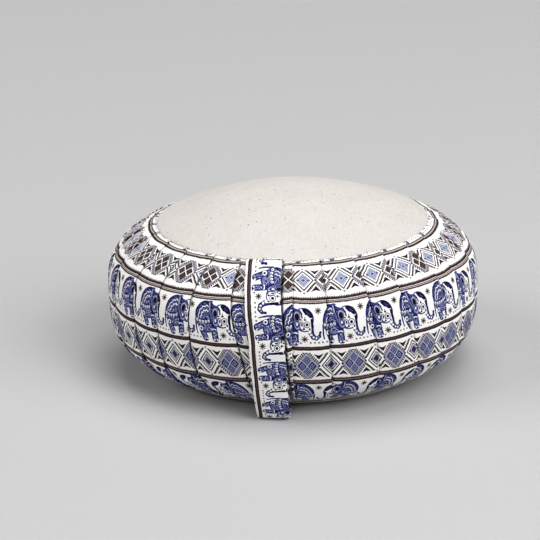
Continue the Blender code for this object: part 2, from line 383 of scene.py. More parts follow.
# Out of sight the form is closed by rings of points: under the crown, at these shares of the
# seam's radius, and over the bottom disc.
UNDER_CROWN = (0.955, 0.8, 0.6, 0.4, 0.2, 0.015)
UNDER_CROWN_GAP = 0.0028
OVER_BOTTOM = (0.002, 0.06, FLOOR_RADIUS - 0.001)
OVER_BOTTOM_HEIGHT = CANVAS_THICKNESS + 0.0008
# The bake map holds the gores on shelves, and the rings out of sight above them.
SHELF_GORES = 9
SHELF_LENGTH = 415
SHELF_HEIGHT = 0.31
SHELF_GAP = 0.004
UNSEEN_START, UNSEEN_SHARE = 0.935, 0.06


def build_side(material):
    """The pleated strip of cloth, closed inside under the two discs."""
    arc, height, radius, (angle, relief, lengthwise, crosswise, shelf) = wall_surface()
    across, upward = wall_normal(height)
    wall = round_points(radius + relief * across, height + relief * upward, angle)
    columns = wall.shape[1]
    plain = np.linspace(angle[0, 0], angle[0, 0] + 2 * math.pi, columns, endpoint=False)
    below = [(reach, OVER_BOTTOM_HEIGHT) for reach in OVER_BOTTOM]
    below.append((BOTTOM_SEAM_RADIUS - 0.0016, BOTTOM_SEAM_HEIGHT - 0.0006))
    above = [(TOP_SEAM_RADIUS - 0.0018, TOP_SEAM_HEIGHT - 0.0022)]
    for share in UNDER_CROWN:
        reach = TOP_SEAM_RADIUS * share
        above.append((reach, crown_height(reach) - UNDER_CROWN_GAP))
    under, over = ([round_points(*ring, plain) for ring in rings] for rings in (below, above))
    points = np.concatenate([under, wall, over])
    made = tube_object("side_panel_cloth", points, material)
    padding = ((len(below), len(above)), (0, 0), (0, 0))
    fold_ends = slice(COLUMNS_PER_GORE - 1, None, COLUMNS_PER_GORE)

    def corners(values, step):
        """Map pairs between columns. The last column round a fold ends a short way on."""
        moved = np.roll(values, -1, 1)
        moved[:, fold_ends] = values[:, fold_ends] + (step, 0.0)
        return quad_corners(values, moved)

    cloth = np.pad(paired(lengthwise, crosswise), padding, "edge")
    add_map(made, "Print", corners(cloth, 0.5))

    number = np.repeat(np.arange(len(FOLDS)), COLUMNS_PER_GORE)[None, :]
    wide = shelf * radius / MM / SHELF_LENGTH + (number % SHELF_GORES + 0.5) / SHELF_GORES
    tall = (1 - arc / WALL_LENGTH) * (SHELF_HEIGHT - 2 * SHELF_GAP) + SHELF_GAP
    bake = np.pad(paired(wide, tall + number // SHELF_GORES * SHELF_HEIGHT), padding, "edge")
    unseen = [*range(len(below)), *(-1 - row for row in range(len(above)))]
    for place, row in enumerate(unseen, 1):
        bake[row, :, 0] = np.linspace(0.01, 0.99, columns)
        bake[row, :, 1] = UNSEEN_START + UNSEEN_SHARE * place / (len(unseen) + 2)
    add_map(made, "OFBake", corners(bake, 0.001), ends=0.999)
    return made


# --- The canvas discs ---

DISC_COLUMNS = 180
AXIS_GAP = 0.0015
# Puckers where the seam gathers the canvas: how many go round, and where they start.
Pucker = namedtuple("Pucker", "height count start")
PUCKERS = (Pucker(0.00022, 26, 1.3), Pucker(0.00016, 43, 0), Pucker(0.00012, 71, 0))
PUCKER_REACH = 0.007
UNEVENNESS = 0.0005
# The canvas rises over the handle's end: how high, over what angle and how far inwards.
LIFT_HEIGHT, LIFT_ANGLE, LIFT_REACH = 0.0011, 0.125, 0.010
# The top disc's turned rim, in millimetres inwards from its edge and down.
RIM_INWARD = (3.0, 2.2, 1.5, 0.9, 0.45, 0.12, 0)
RIM_DOWN = (0.0, 0.02, 0.1, 0.25, 0.5, 0.85, 1.2)


def build_disc(name, profile, swell, material):
    """A closed round piece from radii and heights that start and end near the axis."""
    radius, height = np.array(profile).T[:, :, None]
    angle = np.linspace(0, 2 * math.pi, DISC_COLUMNS, endpoint=False)[None, :]
    points = round_points(radius, height + swell(radius, angle), angle)
    made = tube_object(name, points, material)
    corners = np.empty(len(made.data.loops), int)
    made.data.loops.foreach_get("vertex_index", corners)
    add_map(made, "Weave", points.reshape(-1, 3)[corners, :2] / MM)
    return made


def crown_swell(radius, angle):
    """Puckers along the seam, slow unevenness, and the lift over the handle's end."""
    inward = TOP_SEAM_RADIUS - radius
    puckers = sum(row.height * np.sin(row.count * angle + row.start) for row in PUCKERS)
    inner = np.clip(radius / TOP_SEAM_RADIUS, 0, 1)
    wave = np.sin(3 * angle + 0.6) * np.sin(5 * inner + 0.5)
    slow = UNEVENNESS * 4 * inner * (1 - inner) * wave
    from_handle = np.angle(np.exp(1j * (angle - HANDLE_TOP_SHIFT / TOP_SEAM_RADIUS)))
    lift = LIFT_HEIGHT * np.exp(-((from_handle / LIFT_ANGLE) ** 4)) * np.exp(-inward / LIFT_REACH)
    return np.exp(-inward / PUCKER_REACH) * puckers + slow + lift


def build_top(material):
    """The domed disc, turned down into the seam all round."""
    rim = TOP_SEAM_RADIUS - 0.0002
    profile = [(r, crown_height(r)) for r in np.linspace(AXIS_GAP, rim - 0.004, 40)]
    for inward, down in zip(RIM_INWARD, RIM_DOWN):
        radius = rim - inward * MM
        profile.append((radius, crown_height(radius) - down * MM))
    profile.append((rim - 0.0002, TOP_SEAM_HEIGHT - 0.0014))
    profile.append((rim - 0.0007, TOP_SEAM_HEIGHT - 0.0013))
    for r in np.linspace(rim - 0.003, AXIS_GAP, 20):
        profile.append((r, crown_height(r) - 0.0016))
    return build_disc("top_canvas", profile[::-1], crown_swell, material)


def build_bottom(material):
    """The lower disc, flat on the floor, its rim lifted to the bottom seam."""
    rim = BOTTOM_SEAM_RADIUS - 0.0008
    profile = [(r, 0.0) for r in np.linspace(AXIS_GAP, FLOOR_RADIUS, 16)]
    for share in (0.3, 0.6, 0.85, 1.0):
        radius = FLOOR_RADIUS + (rim - FLOOR_RADIUS) * share
        profile.append((radius, (BOTTOM_SEAM_HEIGHT - 0.0022) * share**1.5))
    profile.append((rim + 0.0002, BOTTOM_SEAM_HEIGHT - 0.0015))
    profile.append((rim - 0.0008, BOTTOM_SEAM_HEIGHT - 0.0014))
    profile.extend((r, 0.0014) for r in np.linspace(FLOOR_RADIUS - 0.004, AXIS_GAP, 10))
    return build_disc("bottom_canvas", profile, lambda radius, angle: 0 * radius, material)


# --- The carry handle ---

HANDLE_ROWS = 130
HANDLE_GIRTH_ROW = 40
# The strap is thinner at its edges, and its right edge is pressed into the wall.
HANDLE_EDGE_SHARE = 0.55
HANDLE_TILT = 0.0006
# It narrows a little towards its foot, mostly at the right.
HANDLE_NARROWING = 0.0009
# Its top end dips by this much under the canvas, and is pressed to this share of its thickness.
HANDLE_TOP_SINK = 0.0036
HANDLE_TOP_SHARE = 0.45
HANDLE_EDGE_STEPS = 7
HANDLE_FACE_STEPS = 14
HANDLE_UPPER_ROWS = 7
HANDLE_GAP = 0.0006
HANDLE_SWELL, HANDLE_RIPPLE = Wave(0.00025, 0.038), Wave(0.00018, 0.017)
# Its thickness varies by this share, over this length.
HANDLE_UNEVENNESS, HANDLE_UNEVEN_LENGTH = 0.10, 0.047
# The strap's front face shows the cloth from this place down, over the strap's width.
HANDLE_PRINT_START = 89.5
HANDLE_PRINT_EDGE = 0.4


def handle_route():
    """Points on the handle's middle line, from the top seam down and under the cushion."""
    corners = []
    for row in range(HANDLE_UPPER_ROWS, -1, -1):
        rise = math.sin(math.pi / 2 * row / HANDLE_UPPER_ROWS)
        height = EQUATOR_HEIGHT + (TOP_SEAM_HEIGHT - EQUATOR_HEIGHT) * rise
        across, upward = wall_normal(height)
        offset = HANDLE_THICKNESS / 2 + HANDLE_GAP + pleat_step(height) + GORE_PUFF / 2
        shift = HANDLE_EQUATOR_SHIFT + (HANDLE_TOP_SHIFT - HANDLE_EQUATOR_SHIFT) * rise
        radius = wall_radius(height) + offset * across
        corners.append(RoutePoint(radius, height + offset * upward, shift))
    return corners + list(HANDLE_LOWER_ROUTE)


def smooth_point(points, position):
    """A point on a smooth curve through points, at a position counted in points."""
    first = min(int(position), len(points) - 2)
    share = position - first
    places = np.clip(np.arange(first - 1, first + 3), 0, len(points) - 1)
    a, b, c, d = np.array(points)[places]
    bend = (2 * a - 5 * b + 4 * c - d) * share**2 + (3 * b - a - 3 * c + d) * share**3
    return b + ((c - a) * share + bend) / 2


def handle_section():
    """Points round the folded strap: the front face, an edge, the back and the other edge. Each is
    a share of the half width, one of the half height, and how far the edge bulges there."""
    section = []
    for side in (1, -1):
        for step in range(HANDLE_FACE_STEPS):
            section.append((side * (2 * step / HANDLE_FACE_STEPS - 1), side, 0))
        for step in range(HANDLE_EDGE_STEPS):
            turn = math.pi * step / HANDLE_EDGE_STEPS
            section.append((side, side * math.cos(turn), side * math.sin(turn)))
    return section


# Lengths down the strap, and the place on the cloth that shows at each.
HANDLE_LENGTHS = (0, 8.7, 50, 94, 131, 154, 194)
HANDLE_PLACES = (11.5, 19.0, 54.0, 96.7, 138.0, 168.0, 212.0)


def handle_print_places(lengths):
    """Places on the cloth for lengths down the strap, on a smooth curve through those above."""
    positions = np.interp(lengths, HANDLE_LENGTHS, range(len(HANDLE_LENGTHS)))
    return np.array([smooth_point(HANDLE_PLACES, position) for position in positions])


def unit(vectors):
    """Vectors brought to length 1."""
    return vectors / np.linalg.norm(vectors, axis=1)[:, None]


def build_handle(material):
    """The strap: a flattened tube of cloth along its route, thinner where the top seam holds it."""
    route = handle_route()
    fine = np.array([smooth_point(route, k / 600 * (len(route) - 1)) for k in range(601)])
    middle = np.stack([fine[:, 2], -fine[:, 0], fine[:, 1]], -1)
    length = lengths_along(middle)
    end = length[-1]
    places = np.linspace(0, end, HANDLE_ROWS)
    middle = np.stack([np.interp(places, length, middle[:, k]) for k in range(3)], -1)
    along = unit(np.gradient(middle, axis=0))
    side = np.tile((1.0, 0.0, 0.0), (HANDLE_ROWS, 1))
    side = unit(side - (side * along).sum(1)[:, None] * along)
    out = np.cross(along, side)
    thick = HANDLE_TOP_SHARE + (1 - HANDLE_TOP_SHARE) * eased(places, 0, 0.009)
    uneven = HANDLE_UNEVENNESS * np.sin(2 * math.pi * places / HANDLE_UNEVEN_LENGTH) ** 2
    thick = thick * (1 - uneven) * HANDLE_THICKNESS / 2
    middle = middle - out * (HANDLE_TOP_SINK * (1 - eased(places, 0.0005, 0.0065)))[:, None]
    tilt = HANDLE_TILT * eased(places, 0.002, 0.030) * (1 - eased(places, end - 0.070, end - 0.040))
    narrowed = HANDLE_NARROWING * eased(places, 0.4 * end, 0.85 * end)
    edge = thick * HANDLE_EDGE_SHARE
    section = handle_section()
    columns = len(section)
    points = []
    for across, height, bulge in section:
        swell = np.sin(2 * math.pi * places / HANDLE_SWELL.length + 1.8 * across)
        ripple = np.sin(2 * math.pi * places / HANDLE_RIPPLE.length + 3.1 * across + 1)
        wave = HANDLE_SWELL.height * swell + HANDLE_RIPPLE.height * ripple
        pillow = 1 - (1 - HANDLE_EDGE_SHARE) * abs(across) ** 3
        sideways = across * (HANDLE_WIDTH / 2 - edge - narrowed) + bulge * edge - 0.8 * narrowed
        outward = height * thick * pillow + wave * (1 - 0.5 * abs(across)) - across * tilt
        points.append(middle + side * sideways[:, None] + out * outward[:, None])
    points = np.stack(points, 1)
    made = tube_object("carry_handle_strap", points, material, turned=True)

    girth = lengths_along(np.vstack([points[HANDLE_GIRTH_ROW], points[HANDLE_GIRTH_ROW, :1]])) / MM
    scale = HANDLE_WIDTH / MM / (girth[HANDLE_FACE_STEPS] + 2 * HANDLE_PRINT_EDGE)
    around = HANDLE_PRINT_START - (girth - HANDLE_PRINT_EDGE) * scale
    seam = HANDLE_FACE_STEPS + HANDLE_EDGE_STEPS + HANDLE_FACE_STEPS // 2
    lifted = girth[-1] * scale * (np.arange(columns) >= seam)
    down = handle_print_places(places / MM)[:, None]
    left, right = paired(down, around[:-1] + lifted), paired(down, around[1:] + lifted)
    add_map(made, "Print", quad_corners(left, right, turned=True))
    row, column = np.arange(HANDLE_ROWS)[:, None], np.arange(columns)
    left = paired(row / HANDLE_ROWS, column / columns)
    right = paired(row / HANDLE_ROWS, (column + 1) / columns)
    add_map(made, "OFBake", quad_corners(left, right, turned=True), ends=0.998)
    return made, end


# --- Shader arithmetic ---

# Threads drift sideways by this many radians, over patches this many threads wide.
WANDER = 5.0
WANDER_PITCH = 6


def feed(tree, socket, value):
    """Sets a node's input to a plain value, or links another node's result to it."""
    if isinstance(value, Value):
        tree.links.new(value.socket, socket)
    else:
        socket.default_value = value


class Value:
    """What a node of a material gives out: a number, a point in millimetres or a colour."""

    def __init__(self, tree, socket):
        self.tree = tree
        self.socket = socket

    def made(self, kind, values, result=0, **settings):
        """A new node's result. Its inputs, by name or in order, take plain values or results."""
        node = self.tree.nodes.new("ShaderNode" + kind)
        for name, setting in settings.items():
            setattr(node, name, setting)
        named = values if isinstance(values, dict) else dict(enumerate(values))
        for name, value in named.items():
            feed(self.tree, node.inputs[name], value)
        return Value(self.tree, node.outputs[result])

    def math(self, operation, *others, clamp=False):
        """A Math node's result from this number and others."""
        return self.made("Math", (self, *others), operation=operation, use_clamp=clamp)

    def __add__(self, other):
        return self.math("ADD", other)

    def __sub__(self, other):
        return self.math("SUBTRACT", other)

    def __rsub__(self, other):
        return self.made("Math", (other, self), operation="SUBTRACT")

    def __mul__(self, other):
        return self.math("MULTIPLY", other)

    def __abs__(self):
        return self.math("ABSOLUTE")

    def scaled(self, factor, offset=0.0, clamp=False):
        """This number times factor plus offset."""
        return self.math("MULTIPLY_ADD", factor, offset, clamp=clamp)

    def wrapped(self, low, pitch):
        """This number brought into one pitch, from low up."""
        return self.math("WRAP", low, low + pitch)

    def zigzag(self, pitch):
        """Up from 0 to half the pitch and down again, over and over."""
        return self.math("PINGPONG", pitch / 2)

    def above(self, limit):
        """1 where this number is over the limit."""
        return self.math("GREATER_THAN", limit)

    def within(self, reach, softness):
        """1 where this distance is under reach, with a soft edge. Softness under 0 swaps the sides."""
        return self.scaled(-1 / softness, reach / softness + 0.5, clamp=True)

    def band(self, middle, half, softness):
        """1 where this number is within half of the middle, with soft edges."""
        return abs(self - middle).within(half, softness)

    def vector(self, operation, *others):
        """A Vector Math node's result. One that is a number comes from its second output."""
        result = 1 if operation in ("LENGTH", "DOT_PRODUCT") else 0
        return self.made("VectorMath", (self, *others), result, operation=operation)

    def length(self):
        """How far this point is from the origin."""
        return self.vector("LENGTH")

    def dot(self, across, upward):
        """This point's dot product with a direction."""
        return self.vector("DOT_PRODUCT", (across, upward, 0))

    def seen_from(self, spot):
        """This point from an upright ellipse's middle, in shares of its half sizes."""
        scale = (1 / spot.across, 1 / spot.upward, 0)
        return self.vector("MULTIPLY_ADD", scale, (-spot.x / spot.across, -spot.y / spot.upward, 0))

    def paired(self, upward):
        """The flat point of this number and another."""
        return self.made("CombineXYZ", (self, upward))

    def parts(self):
        """The two numbers of this flat point."""
        across = self.made("SeparateXYZ", (self,))
        return across, Value(self.tree, across.socket.node.outputs[1])

    def mixed(self, first, second):
        """A colour between two, this number being the share of the second."""
        return self.made("Mix", {"Factor": self, 6: first, 7: second}, 2, data_type="RGBA")

    def noise(self, pitch, detail=2.0):
        """Smooth noise from 0 to 1 at this point, whose spots are about as far apart as pitch."""
        return self.made("TexNoise", {"Vector": self, "Scale": 1 / pitch, "Detail": detail})

    def weave(self, thread, depth, crumple):
        """A bumpy normal at this point: threads both ways, uneven, over soft crumples."""
        wander = self.noise(WANDER_PITCH * thread, 1.0)
        first = wander.scaled(WANDER, self.dot(math.pi / thread, 0)).math("SINE")
        second = wander.scaled(-WANDER, self.dot(0, math.pi / thread)).math("SINE")
        uneven = wander.scaled(0.8, self.noise(crumple).scaled(2.5))
        height = (first * second).scaled(0.5, uneven)
        return self.made("Bump", {"Strength": 1.0, "Distance": depth, "Height": height})


def linear(red, green, blue):
    """A colour given as 0 to 255 for a screen, in the linear values that a shader takes."""
    shares = [value / 255 for value in (red, green, blue)]
    return tuple(v / 12.92 if v <= 0.04045 else ((v + 0.055) / 1.055) ** 2.4 for v in shares)


def ink(red, green, blue):
    """A screen colour as a shader's four values."""
    return (*linear(red, green, blue), 1)


# --- The print, drawn as spots and strokes in millimetres ---

WHITE = ink(250, 249, 247)
PALE = ink(176, 180, 206)
GREY = ink(120, 122, 158)
CORE = ink(200, 205, 226)
BLUE = ink(64, 76, 150)
NAVY = ink(32, 38, 108)
DEEP = ink(12, 12, 62)
UMBER = ink(48, 32, 40)
BROWN = ink(70, 48, 52)
PLUM = ink(64, 50, 78)
BEIGE = ink(186, 172, 164)
TAN = ink(134, 117, 112)
EARTH = ink(92, 72, 76)

# How a dyed ink varies over the cloth: its darkest and its lightest shade.
MOTTLES = {
    NAVY: (ink(12, 14, 66), ink(58, 71, 148)),
    UMBER: (ink(22, 12, 18), ink(66, 48, 54)),
    PLUM: (ink(32, 22, 46), ink(96, 86, 124)),
}
# Fine tracery, pale on blue.
LACE = ink(120, 130, 180)
LACE_DARK, LACE_LIGHT = ink(34, 42, 118), ink(206, 211, 233)
# How the shades lie: as noise of a pitch, drawn out to a contrast about its middle.
Tone = namedtuple("Tone", "pitch detail contrast offset")
MOTTLING = Tone(1.9, 3.0, 3.2, -1.15)
TRACERY = Tone(1.1, 1.0, 6.5, -3.1)

# How soft edges are: in millimetres, and in shares of a diamond's or the blanket's size.
EDGE = 0.30
SOFT, FINE = 0.045, 0.03
# The dye's edges wander by this much, over patches this wide along and down the cloth.
DRIFT, DRIFT_ALONG, DRIFT_DOWN = 0.9, 5.0, 4.0
Spot = namedtuple("Spot", "x y across upward ink")
Stroke = namedtuple("Stroke", "x y to_x to_y half ink")

# One elephant, walking right: x from its neck, y from the line it stands on.
ELEPHANT_BODY = (
    Stroke(-19.4, 18.0, -19.2, 9.5, 0.70, NAVY),
    Stroke(-19.2, 9.5, -18.6, 5.4, 0.55, NAVY),
    Stroke(-14.1, 11.5, -11.2, 2.7, 3.00, NAVY),
    Stroke(-1.9, 12.0, -1.6, 2.6, 3.05, NAVY),
    Spot(-8.6, 21.3, 11.0, 13.9, NAVY),
)
ELEPHANT_BELLY = (
    Spot(-7.8, 11.6, 4.4, 3.0, LACE),
    Stroke(-10.8, 9.3, -5.2, 9.3, 0.35, GREY),
    Stroke(-17.8, 14.9, -4.2, 14.7, 0.75, LACE),
    Stroke(-12.6, 7.2, -11.4, 3.6, 1.70, LACE),
    Stroke(-1.8, 8.4, -1.7, 3.6, 1.80, LACE),
    Spot(-14.6, 10.9, 2.0, 2.1, WHITE),
    Spot(-14.5, 10.8, 0.95, 1.1, DEEP),
    Spot(-9.3, 2.2, 0.9, 0.8, WHITE),
    Spot(-12.0, 1.8, 0.8, 0.7, PALE),
    Spot(-1.8, 10.6, 2.3, 1.1, WHITE),
    Spot(-1.8, 9.9, 1.7, 0.8, NAVY),
    Spot(0.2, 1.7, 0.85, 0.8, WHITE),
    Spot(-2.6, 1.5, 0.85, 0.8, WHITE),
)
# The row of ovals along the belly, higher towards its ends.
OVAL_COUNT = 5
OVAL_START = -17.7
OVAL_PITCH = 2.85
OVAL_HEIGHT = 16.9
OVAL_SAG = 0.25
BLANKET = Spot(-8.2, 18.4, 11.2, 16.6, NAVY)
BLANKET_WAVES, BLANKET_WAVE = 15.0, 0.026
# Arcs of the blanket, from the back inwards: the share of the blanket's size at which each lies.
Arc = namedtuple("Arc", "reach half wavy ink")
BLANKET_MARKS = Arc(0.865, 0.028, 0, GREY)
BLANKET_ARCS = (
    Arc(0.745, 0.030, 1, WHITE),
    Arc(0.640, 0.022, 0, GREY),
    Arc(0.520, 0.034, 1, WHITE),
    Arc(0.415, 0.022, 0, GREY),
    Arc(0.240, 0.085, 1, LACE),
)
ELEPHANT_HEAD = (
    Stroke(-5.4, 33.6, -4.6, 27.0, 1.50, DEEP),
    Stroke(-4.6, 27.0, -2.0, 17.5, 1.50, NAVY),
    Stroke(-5.6, 33.4, -5.0, 27.0, 0.60, PALE),
    Stroke(-5.0, 27.0, -2.6, 18.5, 0.60, GREY),
    Spot(-4.6, 34.5, 2.0, 0.9, BLUE),
    Spot(5.9, 23.1, 8.9, 9.7, NAVY),
    Spot(6.2, 16.4, 5.9, 4.1, NAVY),
    Stroke(11.9, 17.0, 12.1, 11.6, 2.45, NAVY),
    Stroke(12.1, 11.6, 13.9, 7.6, 2.20, NAVY),
    Stroke(13.9, 7.6, 16.7, 6.4, 1.95, NAVY),
    Stroke(16.7, 6.4, 19.2, 8.2, 1.55, NAVY),
    Stroke(19.2, 8.2, 20.0, 11.4, 1.00, NAVY),
    Spot(5.6, 22.9, 7.8, 8.9, WHITE),
    Spot(6.2, 16.6, 5.0, 3.3, WHITE),
    Stroke(10.9, 18.0, 11.1, 12.4, 1.35, WHITE),
    Spot(12.3, 9.8, 1.20, 0.95, WHITE),
    Spot(14.1, 7.6, 0.80, 1.05, WHITE),
    Spot(16.4, 6.6, 0.75, 1.05, WHITE),
    Spot(18.3, 7.7, 0.60, 0.70, PALE),
    Spot(20.0, 11.7, 1.10, 1.00, DEEP),
    Stroke(13.0, 22.6, 13.2, 17.0, 1.10, DEEP),
    Spot(0.6, 17.6, 3.4, 4.4, NAVY),
    Spot(0.6, 17.9, 2.7, 3.7, PALE),
    Spot(0.3, 18.3, 1.8, 2.7, NAVY),
    Spot(0.2, 18.8, 0.8, 1.5, WHITE),
    Spot(4.3, 17.4, 2.1, 4.0, NAVY),
    Spot(4.4, 17.6, 1.4, 3.2, WHITE),
    Spot(4.4, 18.4, 0.8, 1.7, BLUE),
    Spot(-0.1, 25.4, 3.3, 4.6, NAVY),
    Spot(0.1, 25.4, 2.5, 3.8, PALE),
    Spot(0.2, 24.8, 2.0, 3.0, UMBER),
    Spot(0.2, 24.4, 1.5, 2.1, DEEP),
    Spot(-2.7, 29.4, 0.7, 0.9, DEEP),
    Stroke(-1.4, 31.2, 2.5, 30.0, 0.80, BLUE),
    Stroke(2.5, 30.0, 4.2, 27.4, 0.85, NAVY),
    Stroke(4.2, 27.4, 4.7, 24.2, 0.60, NAVY),
    Stroke(6.3, 31.0, 8.4, 28.2, 1.40, DEEP),
    Stroke(8.0, 30.4, 12.2, 26.2, 1.95, DEEP),
    Stroke(8.8, 29.3, 11.0, 27.3, 0.60, BLUE),
    Stroke(7.6, 32.2, 11.2, 30.2, 0.45, UMBER),
    Stroke(11.2, 30.2, 13.3, 26.8, 0.50, UMBER),
    Spot(7.0, 22.6, 1.2, 0.8, BROWN),
    Stroke(7.0, 23.0, 7.0, 24.8, 0.30, BROWN),
    Spot(3.4, 22.6, 0.9, 0.7, UMBER),
    Spot(8.7, 18.6, 2.75, 2.90, NAVY),
    Spot(8.7, 18.6, 2.15, 2.30, WHITE),
    Spot(8.7, 18.5, 1.25, 1.35, DEEP),
    Spot(6.0, 14.9, 0.90, 0.90, DEEP),
    Spot(11.0, 14.7, 0.75, 1.15, NAVY),
)
STARS = ((18.6, 30.2), (6.4, 5.8))
STAR_RADIUS = 3.3
STAR_POINTS = 8.0
DOT_PLACES = ((2.9, 2.1), (11.6, 2.6), (15.1, 2.5), (18.6, 2.5), (-19.9, 2.5), (-16.4, 2.6))
DOT_RADIUS = 0.72
TRUNK_TIP = 21.5

# Where the bands of the print lie, in millimetres down the cloth from the top seam.
Stripe = namedtuple("Stripe", "top bottom ink teeth_up teeth_down", defaults=(0, 0))
STRIPES = (
    Stripe(3.7, 4.7, UMBER, 0.2),
    Stripe(4.7, 6.4, BEIGE),
    Stripe(6.3, 7.9, UMBER, 0.2, 0.7),
    Stripe(42.6, 43.6, BROWN, 1.7),
    Stripe(43.5, 44.6, UMBER, 0.2),
    Stripe(45.2, 45.8, UMBER, 0.2),
    Stripe(45.7, 46.8, BEIGE),
    Stripe(46.7, 47.6, UMBER, 0.3, 0.2),
    Stripe(84.9, 86.0, UMBER, 0.2),
    Stripe(85.9, 87.3, EARTH),
    Stripe(87.1, 88.2, UMBER, 0.3, 0.2),
    Stripe(117.5, 118.9, BROWN, 1.0),
    Stripe(118.8, 120.4, TAN, 0.3),
    Stripe(120.2, 121.8, UMBER, 0.6, 0.2),
    Stripe(156.8, 158.0, UMBER, 0.2),
    Stripe(158.0, 159.6, BEIGE),
    Stripe(159.5, 161.4, UMBER, 0.2, 0.8),
)
TOOTH_PITCH, RAGGED_PITCH = 1.5, 1.1
FIRST_FEET, MIDDLE_FEET, LAST_FEET = 3.4, 83.7, 157.0
MIRRORED_SHIFT = 35.0
FIRST_ROW_END, LOWER_BAND_START, LAST_ROW_START = 25.0, 64.0, 100.0
UPPER_DIAMONDS, LOWER_DIAMONDS = 25.2, 103.0
DIAMOND_PHASE = 7.35
DIAMOND_PITCH = PRINT_REPEAT / 2
DIAMOND_ACROSS, DIAMOND_UPWARD = 9.3, 11.0
DIAMOND_EDGE = 7.1
ORNATE_SHRINK = 0.9
BAND_HALF = 12.8
# The toothed line runs between two distances from the band's middle. Its reach, half width and
# teeth are shares of the diamond.
BAR_START, BAR_END = 2.2, 11.8
BAR_REACH, BAR_HALF, BAR_TOOTH = 1.30, 0.072, 0.105
BEAD_REACH = 1.225
BEAD_PITCH = 1.9
BEAD_ROW = 1.45
TIP_HEIGHT = 12.7
RING_PITCH = 0.17
SIDE_SPOT = Spot(4.6, 0, 0.9, 0.8, NAVY)
QUARTER_MIDDLE = 0.42

WovenCloth = namedtuple("WovenCloth", "slot uv_map thread bump crumple roughness shine")
COTTON = WovenCloth("printed_cotton", "Print", 0.42, 0.00006, 7.0, 0.82, 0.25)
CANVAS = WovenCloth("natural_canvas", "Weave", 0.75, 0.00013, 16.0, 0.9, 0.2)
CANVAS_COLOUR = ink(218, 215, 212)
CANVAS_DARKER = ink(199, 193, 186)
SLUB_PITCH, SLUB_STRETCH = 1.3, 0.12
CLOUD_PITCH = 38.0
FLECK = ink(86, 70, 60)
FLECK_CELL = 7.0
FLECK_RADIUS = 0.72
# Large and small flecks: their size, and the share of the cells that have one.
Flecks = namedtuple("Flecks", "size share")
FLECKS = (Flecks(1.0, 0.70), Flecks(0.6, 0.45))


class Painter:
    """Lays shapes one over another on a ground colour."""

    def __init__(self, ground, shade, tracery):
        self.colour = ground
        self.shade = shade
        self.tracery = tracery

    def ink(self, colour):
        """The ink itself, or its mottled shade where it has one."""
        if colour == LACE:
            return self.tracery.mixed(LACE_DARK, LACE_LIGHT)
        if colour in MOTTLES:
            return self.shade.mixed(*MOTTLES[colour])
        return colour

    def lay(self, mask, colour):
        """Covers the colour so far where the mask is 1."""
        if isinstance(colour, tuple):
            colour = self.ink(colour)
        self.colour = mask.mixed(self.colour, colour)

    def spot(self, point, spot):
        """An upright ellipse."""
        size = min(spot.across, spot.upward)
        self.lay(point.seen_from(spot).length().within(1, EDGE / size), spot.ink)

    def stroke(self, point, stroke):
        """A line of even width with round ends."""
        along = Vector((stroke.to_x - stroke.x, stroke.to_y - stroke.y, 0))
        moved = point.vector("SUBTRACT", (stroke.x, stroke.y, 0))
        share = moved.vector("DOT_PRODUCT", tuple(along / along.length_squared))
        share = share.math("ADD", 0.0, clamp=True)
        nearest = share.made("VectorMath", {0: tuple(along), "Scale": share}, operation="SCALE")
        self.lay(moved.vector("SUBTRACT", nearest).length().within(stroke.half, EDGE), stroke.ink)

    def draw(self, point, shapes):
        """Spots and strokes in their order."""
        for shape in shapes:
            if isinstance(shape, Spot):
                self.spot(point, shape)
            else:
                self.stroke(point, shape)


def paint_stripes(painter, along, down, ragged):
    """The lines between the bands, some with fuzzy teeth."""
    teeth = along.zigzag(TOOTH_PITCH).scaled(2 / TOOTH_PITCH) * ragged
    for stripe in STRIPES:
        half = (stripe.bottom - stripe.top) / 2
        place = down - (stripe.top + stripe.bottom) / 2
        grown = stripe.teeth_up + stripe.teeth_down
        if grown:
            place = teeth.scaled(stripe.teeth_up - stripe.teeth_down, place)
            mask = (abs(place) - teeth.scaled(grown, half)).within(0, EDGE)
        else:
            mask = abs(place).within(half, EDGE)
        painter.lay(mask, stripe.ink)


def paint_blanket(painter, point):
    """Arcs of the elephant's blanket, which follow its back."""
    moved = point.seen_from(BLANKET)
    reach = moved.length()
    upward = moved.dot(0, 1)
    over_belly = upward.within(0.07, -FINE)
    turn = upward.math("ARCTAN2", moved.dot(1, 0))
    waves = (turn * BLANKET_WAVES).math("SINE")
    bent = waves.scaled(BLANKET_WAVE, reach)
    broken = waves.scaled(2.0, 0.4, clamp=True)
    marks = BLANKET_MARKS
    painter.lay(reach.band(marks.reach, marks.half, FINE) * broken * over_belly, marks.ink)
    for arc in BLANKET_ARCS:
        along = bent if arc.wavy else reach
        painter.lay(along.band(arc.reach, arc.half, FINE) * over_belly, arc.ink)


def paint_star(painter, point, place):
    """A star with eight points."""
    moved = point.vector("SUBTRACT", (*place, 0))
    turn = moved.dot(0, 1).math("ARCTAN2", moved.dot(1, 0)) * STAR_POINTS
    reach = turn.math("COSINE").scaled(0.31 * STAR_RADIUS, 0.66 * STAR_RADIUS)
    painter.lay((moved.length() - reach).within(0, EDGE), BROWN)


